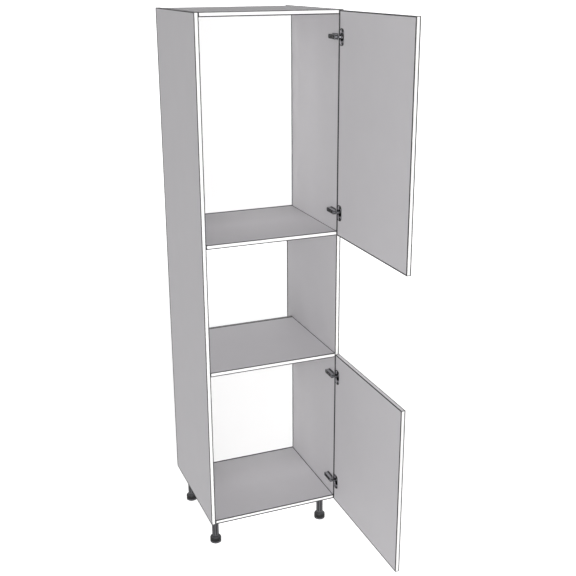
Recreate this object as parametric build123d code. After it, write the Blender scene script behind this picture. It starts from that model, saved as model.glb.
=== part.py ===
from build123d import *
import math
import os

os.makedirs("parts", exist_ok=True)

# Tall oven housing: a floor-standing kitchen carcass with an open oven niche between two cupboards.
# Millimetres. X runs across the front, left to right. Y runs from the front to the back.
# The origin is on the floor, midway between the sides, in the plane of the carcass front.
# Both doors are modelled at rest as they stand open, square to the front.

# Carcass
carcass_width = 600.0
carcass_depth = 560.0
carcass_height = 2150.0
board_thickness = 18.0
edging_thickness = 1.0
edging_round = 0.8
back_thickness = 18.0
service_void = 55.0
leg_height = 150.0
oven_shelf_level = 720.0
niche_height = 530.0

# Dowels that join the boards
dowel_diameter = 8.0
dowel_length = 30.0
dowel_in_face = 11.0
dowel_end_room = 1.0
dowel_bevel = 1.0
dowel_from_end = 37.0

# Doors
door_thickness = 18.0
door_side_reveal = 2.5
door_top_reveal = 2.5
lower_door_top_gap = 5.0
door_closed_gap = 3.0
door_open_gap = 4.0
hinge_from_door_end = 100.0

# Concealed hinge: the cup that is let into the door
cup_diameter = 35.0
cup_depth = 13.0
cup_wall = 0.8
cup_edge_distance = 3.0
flange_length = 66.0
flange_width = 37.0
flange_thickness = 1.2
flange_corner = 15.0
flange_edge_distance = 2.0
cup_lip_round = 1.2
cup_screw_spacing = 48.0
cup_screw_offset = 6.0
cup_screw_core = 1.6
cup_screw_head = 3.4
cup_screw_head_height = 1.1
cup_screw_length = 13.0

# Concealed hinge: the pins, counted from the inner face of the side and the carcass front
pin_radius = 1.25
sliding_pin_radius = 1.0
pin_clearance = 0.05
outer_link_pin_in = 15.5
outer_link_pin_forward = 2.5
neck_pin_in = 8.5
neck_pin_back = 2.0
sliding_pin_depth = 3.4
sliding_pin_from_edge = 9.6

# Concealed hinge: the arm that clips over the mounting plate
arm_standoff = 18.0
arm_sheet = 1.5
arm_half_width = 8.5
arm_back = 63.0
arm_web_front = 4.0
arm_cheek_inset = 4.5
arm_nose_radius = 3.2
arm_end_round = 5.0

# Concealed hinge: the mounting plate on the side
plate_thickness = 2.5
plate_front = 9.0
plate_back = 61.0
plate_half_width = 12.0
plate_end_round = 6.0
rail_top = 14.0
plate_screw_setback = 20.0
plate_screw_pitch = 32.0
plate_screw_core = 2.5
plate_screw_head = 3.9
plate_screw_head_height = 2.2
plate_screw_length = 14.0
screw_head_room = 0.3

# Concealed hinge: the two screws that set the arm
side_screw_setback = 13.0
depth_screw_setback = 38.0
setting_screw_shank = 2.0
setting_screw_head = 3.3
setting_screw_head_height = 1.0
setting_screw_grip = 8.0
cross_slot_width = 0.9
cross_slot_depth = 0.6

# Concealed hinge: the gooseneck, a bent strip in line with the swing pin
neck_half_width = 2.9
neck_half_thickness = 1.2
neck_knuckle = 2.4
neck_upper_bend_in = 7.6
neck_upper_bend_forward = 6.5
neck_lower_bend_in = 4.0
neck_lower_bend_forward = 12.0
neck_low_point_out = 1.5
neck_low_point_forward = 13.7

# Concealed hinge: the outer link, a saddle with a forked strip each side of the gooseneck
closing_turn = -90
opening_turn = 20
turn_step = 5
outer_link_ratio = -0.215
outer_link_inner_half = 3.2
outer_link_outer_half = 4.6
outer_link_half_thickness = 1.6
outer_link_eye = 2.6
outer_link_saddle = 4.0
saddle_side_room = 0.2
outer_link_bend_in = 4.2
outer_link_bend_forward = 13.0
fork_bearing = -21.0
fork_room = 0.12
fork_tine = 0.9
fork_length = 3.0
stub_gap = 0.1

# Legs
foot_diameter = 50.0
foot_sole_diameter = 45.0
foot_sole_bevel = 2.0
foot_flange_height = 10.0
foot_groove_height = 3.0
foot_groove_depth = 2.0
foot_collar_height = 7.0
foot_height = 30.0
foot_shoulder_diameter = 31.0
foot_rise_room = 5.3
foot_notches = 14
foot_notch_radius = 2.6
foot_notch_depth = 1.6
tube_diameter = 30.0
tube_flutes = 8
tube_flute_radius = 3.2
tube_flute_depth = 1.2
tube_flute_end_room = 4.0
stem_diameter = 24.0
stem_clearance = 0.08
stem_length = 75.0
stem_bevel = 2.0
leg_from_side = 44.0
leg_from_front = 97.0
leg_from_rear = 78.0
socket_size = 60.0
socket_corner = 12.0
socket_plate = 4.0
sleeve_wall = 3.5
sleeve_length = 24.0
socket_rib_thickness = 3.0
leg_screw_spacing = 42.0
leg_screw_core = 1.75
leg_screw_head = 3.5
leg_screw_head_height = 2.0
leg_screw_length = 16.0

# Bevel on every screw head, and how far a cut runs past the face that it opens
screw_head_bevel = 0.5
overrun = 1.0

# Planes worked out from the sizes above
half_width = carcass_width / 2
inner_half = half_width - board_thickness
base_low = leg_height
base_high = base_low + board_thickness
oven_shelf_high = leg_height + oven_shelf_level
oven_shelf_low = oven_shelf_high - board_thickness
upper_shelf_low = oven_shelf_high + niche_height
upper_shelf_high = upper_shelf_low + board_thickness
top_high = leg_height + carcass_height
top_low = top_high - board_thickness
back_rear = carcass_depth - service_void
back_front = back_rear - back_thickness

# Door closed: its inner face stands door_closed_gap in front of the carcass, and its hinge edge
# stops door_side_reveal short of the side's outer face. Door open: its inner face is in line with
# the inner face of the side, and its hinge edge stands door_open_gap in front of the carcass.
# The swing axis is the one point that carries the first place to the second in a quarter turn.
door_overlay = board_thickness - door_side_reveal
swing_from_edge = (door_overlay + door_closed_gap - door_open_gap) / 2
swing_depth = (door_overlay - door_closed_gap + door_open_gap) / 2
swing_x = swing_depth
swing_y = -(door_open_gap + swing_from_edge)
door_width = carcass_width - 2 * door_side_reveal
lower_door_low = base_low
lower_door_high = oven_shelf_high - lower_door_top_gap
upper_door_low = upper_shelf_low
upper_door_high = top_high - door_top_reveal
cup_from_edge = cup_edge_distance + cup_diameter / 2
cup_y = -(door_open_gap + cup_from_edge)


def block(x0, x1, y0, y1, z0, z1):
    """Box between two opposite corners."""
    return Pos((x0 + x1) / 2, (y0 + y1) / 2, (z0 + z1) / 2) * Box(x1 - x0, y1 - y0, z1 - z0)


def rod_z(x, y, z0, z1, radius):
    """Upright cylinder from z0 to z1."""
    return Pos(x, y, (z0 + z1) / 2) * Cylinder(radius, z1 - z0)


def rod_x(x0, x1, y, z, radius):
    """Cylinder across the unit from x0 to x1."""
    return Pos((x0 + x1) / 2, y, z) * Rot(0, 90, 0) * Cylinder(radius, x1 - x0)


def group(solids):
    """Separate solids kept together under one name."""
    return Compound(children=list(solids))


def save(shape, name):
    """Write one named piece."""
    export_step(shape, "parts/" + name + ".step")


# Boards, their dowels and their edging


def dowel_places(start, end):
    """Places along a joint: near both ends and half-way between."""
    return [start + dowel_from_end, (start + end) / 2, end - dowel_from_end]


def dowel(side, y, z):
    """One beech dowel across the joint between a side and the end of a board, with bevelled tips."""
    face = side * inner_half
    tip_in_side = face + side * (dowel_in_face - dowel_end_room)
    tip_in_board = tip_in_side - side * dowel_length
    pin = rod_x(min(tip_in_side, tip_in_board), max(tip_in_side, tip_in_board), y, z, dowel_diameter / 2)
    return chamfer(pin.edges().filter_by(GeomType.CIRCLE), dowel_bevel)


def dowel_hole(side, y, z):
    """The blind holes that the dowel sits in, one in the side and one in the board's end."""
    face = side * inner_half
    deep_in_side = face + side * dowel_in_face
    deep_in_board = deep_in_side - side * (dowel_length + 2 * dowel_end_room)
    return rod_x(min(deep_in_side, deep_in_board), max(deep_in_side, deep_in_board), y, z, dowel_diameter / 2)


shelf_rows = {
    "base": (dowel_places(0, carcass_depth), (base_low + base_high) / 2),
    "oven_shelf": (dowel_places(0, back_front), (oven_shelf_low + oven_shelf_high) / 2),
    "upper_shelf": (dowel_places(0, back_front), (upper_shelf_low + upper_shelf_high) / 2),
    "top": (dowel_places(0, back_rear), (top_low + top_high) / 2),
}
back_rows = {
    "lower_back": dowel_places(base_high, oven_shelf_high),
    "upper_back": dowel_places(upper_shelf_low, top_low),
}
back_middle = (back_front + back_rear) / 2


def row_points(name):
    """Dowel centres (y, z) of one board."""
    if name in shelf_rows:
        places, level = shelf_rows[name]
        return [(y, level) for y in places]
    return [(back_middle, z) for z in back_rows[name]]


def drilled(shape, sides, names):
    """A board with the dowel holes of the named rows."""
    for side in sides:
        for name in names:
            for y, z in row_points(name):
                shape = shape - dowel_hole(side, y, z)
    return shape


def cross_board(z0, z1, depth, name):
    """Board between the sides, behind its front edging, with dowel holes in both ends."""
    return drilled(block(-inner_half, inner_half, edging_thickness, depth, z0, z1), (-1, 1), [name])


def front_strip(x0, x1, z0, z1, long_axis):
    """Front edging with its two long front arrises eased."""
    strip = block(x0, x1, 0, edging_thickness, z0, z1)
    front = strip.edges().filter_by(long_axis).group_by(Axis.Y)[0]
    return fillet(front, edging_round)


def side_panel(side):
    """Side of the carcass, behind its front edging, drilled for its dowels."""
    outer = side * half_width
    inner = side * inner_half
    panel = block(min(outer, inner), max(outer, inner), edging_thickness, carcass_depth, base_low, top_high)
    return drilled(panel, (side,), list(shelf_rows) + list(back_rows))


# Legs


leg_places = {
    "front_left": (-half_width + leg_from_side, leg_from_front),
    "front_right": (half_width - leg_from_side, leg_from_front),
    "rear_left": (-half_width + leg_from_side, carcass_depth - leg_from_rear),
    "rear_right": (half_width - leg_from_side, carcass_depth - leg_from_rear),
}
tube_low = foot_height + foot_rise_room
tube_high = base_low - socket_plate
tube_bore = stem_diameter / 2 + stem_clearance
sleeve_low = tube_high - sleeve_length
sleeve_radius = tube_diameter / 2 + sleeve_wall


def leg_screw_points(x, y):
    """Four screw places round a leg."""
    reach = leg_screw_spacing / 2
    return [(x + i * reach, y + j * reach) for i in (-1, 1) for j in (-1, 1)]


def leg_socket(x, y):
    """Socket under the base: a plate with a ribbed sleeve that the tube is pushed into."""
    plate = extrude(RectangleRounded(socket_size, socket_size, socket_corner), socket_plate)
    socket = Pos(x, y, tube_high) * plate
    socket = socket + rod_z(x, y, sleeve_low, tube_high, sleeve_radius)
    rib_reach = socket_size / 2
    for angle in (0, 90, 180, 270):
        profile = make_face(Polyline((0, 0), (rib_reach, 0), (rib_reach, -socket_plate),
                                     (sleeve_radius, -sleeve_length), (0, -sleeve_length), (0, 0)))
        rib = extrude(Plane.XZ * profile, socket_rib_thickness / 2, both=True)
        socket = socket + Pos(x, y, tube_high) * Rot(0, 0, angle) * rib
    socket = socket - rod_z(x, y, sleeve_low, tube_high, tube_diameter / 2)
    for px, py in leg_screw_points(x, y):
        socket = socket - rod_z(px, py, tube_high - overrun, base_low + overrun, leg_screw_core)
    return socket


def rods_round(x, y, count, radius, depth, reach, z0, z1):
    """Upright cylinders evenly round a leg, each cutting to a depth into a round of the given reach."""
    out = reach + radius - depth
    turns = [i * math.tau / count for i in range(count)]
    return [rod_z(x + out * math.cos(turn), y + out * math.sin(turn), z0, z1, radius) for turn in turns]


def leg_tube(x, y):
    """Upright tube of a leg: fluted below the sleeve, closed at its top, bored for the foot's stem."""
    tube = rod_z(x, y, tube_low, tube_high, tube_diameter / 2)
    stem_top = foot_height + stem_length + foot_rise_room
    tube = tube - rod_z(x, y, tube_low, stem_top + overrun, tube_bore)
    low = tube_low + tube_flute_end_room
    high = sleeve_low - tube_flute_end_room
    outside = tube_diameter / 2
    return tube - rods_round(x, y, tube_flutes, tube_flute_radius, tube_flute_depth, outside, low, high)


def leg_foot(x, y):
    """Foot: a flat sole under a flange, a groove, a notched collar to grip, and the stem that turns
    up into the tube."""
    sole = foot_sole_diameter / 2
    rim = foot_diameter / 2
    groove = rim - foot_groove_depth
    groove_top = foot_flange_height + foot_groove_height
    collar_top = groove_top + foot_collar_height
    shoulder = foot_shoulder_diameter / 2
    stem = stem_diameter / 2
    stem_top = foot_height + stem_length
    outline = [
        Line((0, 0), (sole, 0)),
        Line((sole, 0), (rim, foot_sole_bevel)),
        Line((rim, foot_sole_bevel), (rim, foot_flange_height)),
        Line((rim, foot_flange_height), (groove, foot_flange_height)),
        Line((groove, foot_flange_height), (groove, groove_top)),
        Line((groove, groove_top), (rim, groove_top)),
        Line((rim, groove_top), (rim, collar_top)),
        TangentArc((rim, collar_top), (shoulder, foot_height), tangent=(0, 1)),
        Line((shoulder, foot_height), (stem, foot_height)),
        Line((stem, foot_height), (stem, stem_top - stem_bevel)),
        Line((stem, stem_top - stem_bevel), (stem - stem_bevel, stem_top)),
        Line((stem - stem_bevel, stem_top), (0, stem_top)),
        Line((0, stem_top), (0, 0)),
    ]
    face = Plane.XZ * make_face(Wire(outline))
    foot = Pos(x, y, 0) * revolve(face, Axis.Z)
    notches = rods_round(x, y, foot_notches, foot_notch_radius, foot_notch_depth, rim, groove_top, foot_height)
    return foot - notches


def wood_screw(core, head, head_height, length):
    """Flat-bottomed screw with the top of its head at z zero and its point upwards, cross-slotted."""
    outline = Polyline((0, 0), (head - screw_head_bevel, 0), (head, screw_head_bevel), (head, head_height),
                       (core, head_height), (core, length - core), (0, length), (0, 0))
    screw = revolve(Plane.XZ * make_face(outline), Axis.Z)
    for angle in (0, 90):
        slot = Box(head, cross_slot_width, 2 * cross_slot_depth)
        screw = screw - Rot(0, 0, angle) * slot
    return screw


def leg_screw(x, y):
    """Screw that holds a socket to the base, its head under the socket's plate."""
    screw = wood_screw(leg_screw_core, leg_screw_head, leg_screw_head_height, leg_screw_length)
    return Pos(x, y, tube_high - leg_screw_head_height) * screw


def leg_screw_hole(x, y):
    """What a socket's screw takes out of the base."""
    low = tube_high - leg_screw_head_height
    return rod_z(x, y, base_low - overrun, low + leg_screw_length, leg_screw_core)


# Concealed hinges. In each, x counts from the inner face of the side, y from the carcass front and
# z from the middle of the hinge.


hinge_levels = {
    "lower_door_bottom": lower_door_low + hinge_from_door_end,
    "lower_door_top": lower_door_high - hinge_from_door_end,
    "upper_door_bottom": upper_door_low + hinge_from_door_end,
    "upper_door_top": upper_door_high - hinge_from_door_end,
}
outer_pin = (-outer_link_pin_in, -outer_link_pin_forward)
neck_pin = (-neck_pin_in, neck_pin_back)
swing_pin = (swing_x, swing_y)
sliding_pin = (sliding_pin_depth, -(door_open_gap + sliding_pin_from_edge))
setting_screw_setbacks = (side_screw_setback, depth_screw_setback)
plate_screw_setbacks = (plate_screw_setback, plate_screw_setback + plate_screw_pitch)


def turned(point, centre, degrees):
    """A point turned about a centre."""
    angle = math.radians(degrees)
    dx = point[0] - centre[0]
    dy = point[1] - centre[1]
    return (centre[0] + dx * math.cos(angle) - dy * math.sin(angle),
            centre[1] + dx * math.sin(angle) + dy * math.cos(angle))


def along(vector_x, vector_y, degrees):
    """Parts of a vector along a direction and across it."""
    angle = math.radians(degrees)
    return (vector_x * math.cos(angle) + vector_y * math.sin(angle),
            vector_y * math.cos(angle) - vector_x * math.sin(angle))


def fork_track():
    """Path of the sliding pin as the outer link sees it, along its fork and across it."""
    track = []
    for turn in range(closing_turn, opening_turn + 1, turn_step):
        x, y = turned(turned(sliding_pin, swing_pin, turn), outer_pin, -outer_link_ratio * turn)
        track.append(along(x - outer_pin[0], y - outer_pin[1], fork_bearing))
    return track


pin_along = [point[0] for point in fork_track()]
pin_across = [point[1] for point in fork_track()]
fork_slot_half = sliding_pin_radius + fork_room + (max(pin_across) - min(pin_across)) / 2


def at_hinge(shape, name):
    """Hinge piece moved to its place on the right side."""
    return Pos(inner_half, 0, hinge_levels[name]) * shape


def both_ends(half_length, x, y, radius):
    """Pin along z, centred on the hinge."""
    return rod_z(x, y, -half_length, half_length, radius)


def cup_pin(x, y, half_length, radius):
    """Pin across the cup, its ends seated half-way into the cup's round wall."""
    seat_radius = (cup_diameter - cup_wall) / 2
    seat = rod_to_door(seat_radius, -flange_thickness, cup_depth)
    return both_ends(half_length, x, y, radius) & seat


def swing_pin_rod():
    """The pin that the door swings on, across the cup and through the gooseneck's knuckle."""
    return cup_pin(swing_pin[0], swing_pin[1], cup_diameter / 2, pin_radius)


def sliding_pin_stubs():
    """Two stub pins, one each side, that the outer link's forks slide along."""
    x, y = sliding_pin
    near = outer_link_inner_half - stub_gap
    rod = cup_pin(x, y, cup_diameter / 2, sliding_pin_radius)
    middle = both_ends(near, x, y, sliding_pin_radius + overrun)
    return (rod - middle).solids()


def cup_bore(extra=0):
    """The round recess for the cup in the door's inner face."""
    return rod_to_door(cup_diameter / 2, -extra, cup_depth)


def rod_to_door(radius, x0, x1):
    """Cylinder in line with the cup."""
    return Pos((x0 + x1) / 2, cup_y, 0) * Rot(0, 90, 0) * Cylinder(radius, x1 - x0)


def cup_screw_places():
    """Places of the two cup screws, as (y, z)."""
    y = cup_y - cup_screw_offset
    return [(y, i * cup_screw_spacing / 2) for i in (-1, 1)]


def hinge_cup():
    """Pressed cup with its oblong flange, open towards the cupboard."""
    flange_y = -(door_open_gap + flange_edge_distance + flange_width / 2)
    flange = extrude(RectangleRounded(flange_length, flange_width, flange_corner), flange_thickness)
    cup = Pos(-flange_thickness, flange_y, 0) * Rot(0, 90, 0) * flange
    cup = cup + cup_bore(flange_thickness)
    cup = cup - rod_to_door(cup_diameter / 2 - cup_wall, -flange_thickness - overrun, cup_depth - cup_wall)
    lip = cup.edges().filter_by(GeomType.CIRCLE).group_by(Axis.X)[0].sort_by(SortBy.RADIUS)[-1]
    cup = fillet(lip, cup_lip_round)
    for y, z in cup_screw_places():
        cup = cup - rod_x(-flange_thickness - overrun, overrun, y, z, cup_screw_core)
    cup = cup - swing_pin_rod()
    for stub in sliding_pin_stubs():
        cup = cup - stub
    return cup


def cup_screw(y, z):
    """Screw through the flange into the door."""
    screw = wood_screw(cup_screw_core, cup_screw_head, cup_screw_head_height, cup_screw_length)
    return Pos(-flange_thickness - cup_screw_head_height, y, z) * Rot(0, 90, 0) * screw


def cup_screw_hole(y, z):
    """What a cup's screw takes out of the door."""
    return rod_x(-overrun, cup_screw_length - flange_thickness - cup_screw_head_height, y, z, cup_screw_core)


def mounting_plate():
    """Plate screwed to the side, with the rail that the arm clips over."""
    length = plate_back - plate_front
    middle = (plate_front + plate_back) / 2
    base = extrude(RectangleRounded(2 * plate_half_width, length, plate_end_round), plate_thickness)
    plate = Pos(-plate_thickness, middle, 0) * Rot(0, 90, 0) * base
    rail_half = arm_half_width - arm_sheet
    plate = plate + block(-rail_top, -plate_thickness, plate_front, plate_back, -rail_half, rail_half)
    for y in plate_screw_setbacks:
        plate = plate - rod_x(-plate_thickness - overrun, overrun, y, 0, plate_screw_core)
        plate = plate - rod_x(-rail_top - overrun, -plate_thickness, y, 0, plate_screw_head + screw_head_room)
    screw_tip = -arm_standoff + setting_screw_grip
    for y in setting_screw_setbacks:
        plate = plate - rod_x(-rail_top - overrun, screw_tip, y, 0, setting_screw_shank)
    return plate


def plate_screw(y):
    """Screw through the mounting plate into the side, its head down in the rail."""
    screw = wood_screw(plate_screw_core, plate_screw_head, plate_screw_head_height, plate_screw_length)
    return Pos(-plate_thickness - plate_screw_head_height, y, 0) * Rot(0, 90, 0) * screw


def plate_screw_hole(y):
    """What a plate's screw takes out of the side."""
    tip = plate_screw_length - plate_thickness - plate_screw_head_height
    return rod_x(-overrun, tip, y, 0, plate_screw_core)


def setting_screw(y):
    """Screw that sets the arm on its plate."""
    head = rod_x(-arm_standoff - setting_screw_head_height, -arm_standoff, y, 0, setting_screw_head)
    for size in ((cross_slot_width, setting_screw_head), (setting_screw_head, cross_slot_width)):
        slot = Box(2 * cross_slot_depth, size[0], size[1])
        head = head - Pos(-arm_standoff - setting_screw_head_height, y, 0) * slot
    return head + rod_x(-arm_standoff, -arm_standoff + setting_screw_grip, y, 0, setting_screw_shank)


def cheek_outline():
    """Outline of one cheek of the arm, with a nose round the outer link's pin."""
    back = arm_back
    top = -arm_standoff
    foot = -arm_cheek_inset
    nose_x, nose_y = outer_pin
    pin_room = neck_pin_in - arm_cheek_inset
    body = make_face(Polyline((top, back), (foot, back), (foot, neck_pin_back - pin_room),
                              (nose_x, nose_y - arm_nose_radius), (top, nose_y), (top, back)))
    return body + Pos(nose_x, nose_y) * Circle(arm_nose_radius)


def hinge_arm():
    """Channel-shaped arm: a web over the rail and two cheeks that carry the pins."""
    cheeks = extrude(cheek_outline(), arm_half_width, both=True)
    inner_width = arm_half_width - arm_sheet
    hollow = block(-arm_standoff + arm_sheet, overrun, arm_web_front - arm_back, arm_back + overrun,
                   -inner_width, inner_width)
    front = block(-arm_standoff - overrun, overrun, -arm_back, arm_web_front, -inner_width, inner_width)
    arm = cheeks - hollow - front
    back_edges = arm.edges().filter_by(Axis.X).group_by(Axis.Y)[-1]
    sheet_middle = arm_half_width - arm_sheet / 2
    corners = [edge for edge in back_edges if abs(edge.center().Z) > sheet_middle]
    arm = fillet(corners, arm_end_round)
    for x, y in (outer_pin, neck_pin):
        arm = arm - both_ends(arm_half_width + overrun, x, y, pin_radius)
    web_inside = -arm_standoff + arm_sheet
    for y in setting_screw_setbacks:
        arm = arm - rod_x(-arm_standoff - overrun, web_inside + overrun, y, 0, setting_screw_shank)
    return arm


def arm_pins():
    """The two pins across the arm's cheeks."""
    return [both_ends(arm_half_width, x, y, pin_radius) for x, y in (outer_pin, neck_pin)]


def strip_outline(points, half_thickness):
    """A bent strip of even thickness with round ends, along the points."""
    path = Polyline(*points)
    return make_face(path.offset_2d(half_thickness, kind=Kind.ARC, side=Side.BOTH))


def neck_points():
    """The gooseneck's middle line: it drops past the cup's rim, then rises to the swing pin."""
    return [neck_pin, (-neck_upper_bend_in, -neck_upper_bend_forward),
            (-neck_lower_bend_in, -neck_lower_bend_forward),
            (neck_low_point_out, -neck_low_point_forward), swing_pin]


def gooseneck():
    """Inner link: a bent strip from the neck pin round the rim to the swing pin's knuckle."""
    shape = strip_outline(neck_points(), neck_half_thickness)
    for point in (neck_pin, swing_pin):
        shape = shape + Pos(*point) * Circle(neck_knuckle)
    link = extrude(shape, neck_half_width, both=True)
    link = link - both_ends(arm_half_width, neck_pin[0], neck_pin[1], pin_radius)
    return link - both_ends(arm_half_width, swing_pin[0], swing_pin[1], pin_radius + pin_clearance)


def fork_place(distance, offset=0):
    """Place on the fork's own line, at a distance from the outer pin."""
    middle = (max(pin_across) + min(pin_across)) / 2
    return Pos(*outer_pin) * Rot(0, 0, fork_bearing) * Pos(distance, middle + offset)


def fork_bar(half_width, end):
    """Bar along the fork, round at its root and square at its end."""
    start = min(pin_along)
    bar = fork_place((start + end) / 2) * Rectangle(end - start, 2 * half_width)
    return bar + fork_place(start) * Circle(half_width)


def outer_link():
    """Outer link: a saddle on the arm's pin and two forked strips that slide on the stub pins."""
    root = fork_place(min(pin_along) - fork_slot_half, -fork_tine)
    root_point = (root.position.X, root.position.Y)
    bend = (-outer_link_bend_in, -outer_link_bend_forward)
    shape = strip_outline([outer_pin, bend, root_point], outer_link_half_thickness)
    shape = shape + Pos(*outer_pin) * Circle(outer_link_eye)
    end = min(pin_along) + fork_length
    shape = shape + fork_bar(fork_slot_half + fork_tine, end)
    shape = shape - fork_bar(fork_slot_half, end + overrun)
    saddle_half = arm_half_width - arm_sheet - saddle_side_room
    link = extrude(shape, saddle_half, both=True)
    saddle_end = outer_pin[0] + outer_link_saddle
    reach = outer_link_saddle + cup_diameter
    inner_half_gap = outer_link_inner_half
    link = link - block(saddle_end, saddle_end + reach, -reach, reach, -inner_half_gap, inner_half_gap)
    for side in (-1, 1):
        z0, z1 = sorted((side * outer_link_outer_half, side * (saddle_half + overrun)))
        link = link - block(saddle_end, saddle_end + reach, -reach, reach, z0, z1)
    return link - both_ends(arm_half_width, outer_pin[0], outer_pin[1], pin_radius + pin_clearance)


# Doors


def door_board(z0, z1):
    """Door board inside its edging, with the recesses for two cups."""
    y1 = -door_open_gap - edging_thickness
    y0 = -door_open_gap - door_width + edging_thickness
    low = z0 + edging_thickness
    high = z1 - edging_thickness
    return block(inner_half, inner_half + door_thickness, y0, y1, low, high)


def door_strip(y0, y1, z0, z1, long_axis, outward):
    """One strip of door edging with its two outer arrises eased."""
    strip = block(inner_half, inner_half + door_thickness, y0, y1, z0, z1)
    outer_axis, index = outward
    outer = strip.edges().filter_by(long_axis).group_by(outer_axis)[index]
    return fillet(outer, edging_round)


def door_upright_edging(z0, z1):
    """Edging down the hinge edge and the free edge, over the full height."""
    near = -door_open_gap
    far = near - door_width
    return [door_strip(near - edging_thickness, near, z0, z1, Axis.Z, (Axis.Y, -1)),
            door_strip(far, far + edging_thickness, z0, z1, Axis.Z, (Axis.Y, 0))]


def door_end_edging(z0, z1):
    """Edging along the top and the bottom, between the uprights."""
    y1 = -door_open_gap - edging_thickness
    y0 = -door_open_gap - door_width + edging_thickness
    return [door_strip(y0, y1, z0, z0 + edging_thickness, Axis.Y, (Axis.Z, 0)),
            door_strip(y0, y1, z1 - edging_thickness, z1, Axis.Y, (Axis.Z, -1))]


def save_door(name, z0, z1):
    """One door with its edging and everything let into it."""
    hinges = [key for key in hinge_levels if key.startswith(name)]
    board = door_board(z0, z1)
    screws = []
    pins = []
    for key in hinges:
        board = board - at_hinge(cup_bore(overrun), key)
        for y, z in cup_screw_places():
            board = board - at_hinge(cup_screw_hole(y, z), key)
            screws.append(at_hinge(cup_screw(y, z), key))
        for pin in [swing_pin_rod()] + sliding_pin_stubs():
            pins.append(at_hinge(pin, key))
        save(at_hinge(hinge_cup(), key), key + "_hinge_cup")
    save(board, name + "_board")
    save(group(door_upright_edging(z0, z1)), name + "_upright_edging")
    save(group(door_end_edging(z0, z1)), name + "_end_edging")
    save(group(screws), name + "_cup_screws")
    save(group(pins), name + "_hinge_pins")
    save(group(at_hinge(outer_link(), key) for key in hinges), name + "_outer_links")


# Carcass boards
left_side = side_panel(-1)
right_side = side_panel(1)
for key in hinge_levels:
    for y in plate_screw_setbacks:
        right_side = right_side - at_hinge(plate_screw_hole(y), key)
save(left_side, "left_side_panel")
save(right_side, "right_side_panel")
base = cross_board(base_low, base_high, carcass_depth, "base")
for x, y in leg_places.values():
    for px, py in leg_screw_points(x, y):
        base = base - leg_screw_hole(px, py)
save(base, "base_panel")
save(cross_board(oven_shelf_low, oven_shelf_high, back_front, "oven_shelf"), "oven_shelf")
save(cross_board(upper_shelf_low, upper_shelf_high, back_front, "upper_shelf"), "upper_shelf")
save(cross_board(top_low, top_high, back_rear, "top"), "top_panel")
lower_back = block(-inner_half, inner_half, back_front, back_rear, base_high, oven_shelf_high)
upper_back = block(-inner_half, inner_half, back_front, back_rear, upper_shelf_low, top_low)
save(drilled(lower_back, (-1, 1), ["lower_back"]), "lower_back_panel")
save(drilled(upper_back, (-1, 1), ["upper_back"]), "upper_back_panel")

# Front edging
save(front_strip(-half_width, -inner_half, base_low, top_high, Axis.Z), "left_side_edging")
save(front_strip(inner_half, half_width, base_low, top_high, Axis.Z), "right_side_edging")
save(front_strip(-inner_half, inner_half, base_low, base_high, Axis.X), "base_edging")
save(front_strip(-inner_half, inner_half, oven_shelf_low, oven_shelf_high, Axis.X), "oven_shelf_edging")
save(front_strip(-inner_half, inner_half, upper_shelf_low, upper_shelf_high, Axis.X), "upper_shelf_edging")
save(front_strip(-inner_half, inner_half, top_low, top_high, Axis.X), "top_edging")

# Dowels
save(group(dowel(side, y, z) for side in (-1, 1) for name in shelf_rows for y, z in row_points(name)),
     "shelf_dowels")
save(group(dowel(side, y, z) for side in (-1, 1) for name in back_rows for y, z in row_points(name)),
     "back_panel_dowels")

# Legs
for place, (x, y) in leg_places.items():
    save(leg_socket(x, y), place + "_leg_socket")
    save(leg_tube(x, y), place + "_leg_tube")
    save(leg_foot(x, y), place + "_foot")
save(group(leg_screw(px, py) for x, y in leg_places.values() for px, py in leg_screw_points(x, y)),
     "leg_socket_screws")

# Hinges: the pieces that stay on the carcass
for key in hinge_levels:
    save(at_hinge(mounting_plate(), key), key + "_mounting_plate")
    save(at_hinge(hinge_arm(), key), key + "_hinge_arm")
save(group(at_hinge(gooseneck(), key) for key in hinge_levels), "hinge_goosenecks")
save(group(at_hinge(plate_screw(y), key) for key in hinge_levels for y in plate_screw_setbacks),
     "mounting_plate_screws")
save(group(at_hinge(setting_screw(y), key) for key in hinge_levels for y in setting_screw_setbacks),
     "hinge_setting_screws")
save(group(at_hinge(pin, key) for key in hinge_levels for pin in arm_pins()), "hinge_arm_pins")

# Doors and the hinge pieces that move with them
save_door("lower_door", lower_door_low, lower_door_high)
save_door("upper_door", upper_door_low, upper_door_high)
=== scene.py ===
import math

import bpy
from mathutils import Matrix, Vector


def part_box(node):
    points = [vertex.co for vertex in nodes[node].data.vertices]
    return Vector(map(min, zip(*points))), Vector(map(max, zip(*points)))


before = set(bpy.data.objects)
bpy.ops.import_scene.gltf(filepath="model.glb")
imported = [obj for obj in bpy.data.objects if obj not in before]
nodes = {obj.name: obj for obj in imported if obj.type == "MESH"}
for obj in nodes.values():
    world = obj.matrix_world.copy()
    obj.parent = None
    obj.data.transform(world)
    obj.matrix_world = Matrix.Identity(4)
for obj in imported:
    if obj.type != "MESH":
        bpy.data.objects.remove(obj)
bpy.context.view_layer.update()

MM = 0.001
X, Y, Z = 0, 1, 2
LEFT, RIGHT, FRONT, REAR, DOWN, UP = (X, -1), (X, 1), (Y, -1), (Y, 1), (Z, -1), (Z, 1)
FACING = 0.7  # least part of a side's normal along an axis for the side to count as facing that way
ANY_DEPTH = 1.0  # a metre, further out than any hinge cup, so that depth makes no difference

# Camera, worked out from the straight edges in the photograph, with its angles in degrees
CAMERA_PLACE = (-1287.0 * MM, -3375.4 * MM, 2432.8 * MM)
CAMERA_HEADING = 21.80
CAMERA_DROP = 18.77
CAMERA_ROLL = -0.28
IMAGE_SIZE = 576
FOCAL_PIXELS = 926.8
SENSOR_WIDTH = 36.0
SIGHT_END = 500.0

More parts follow.
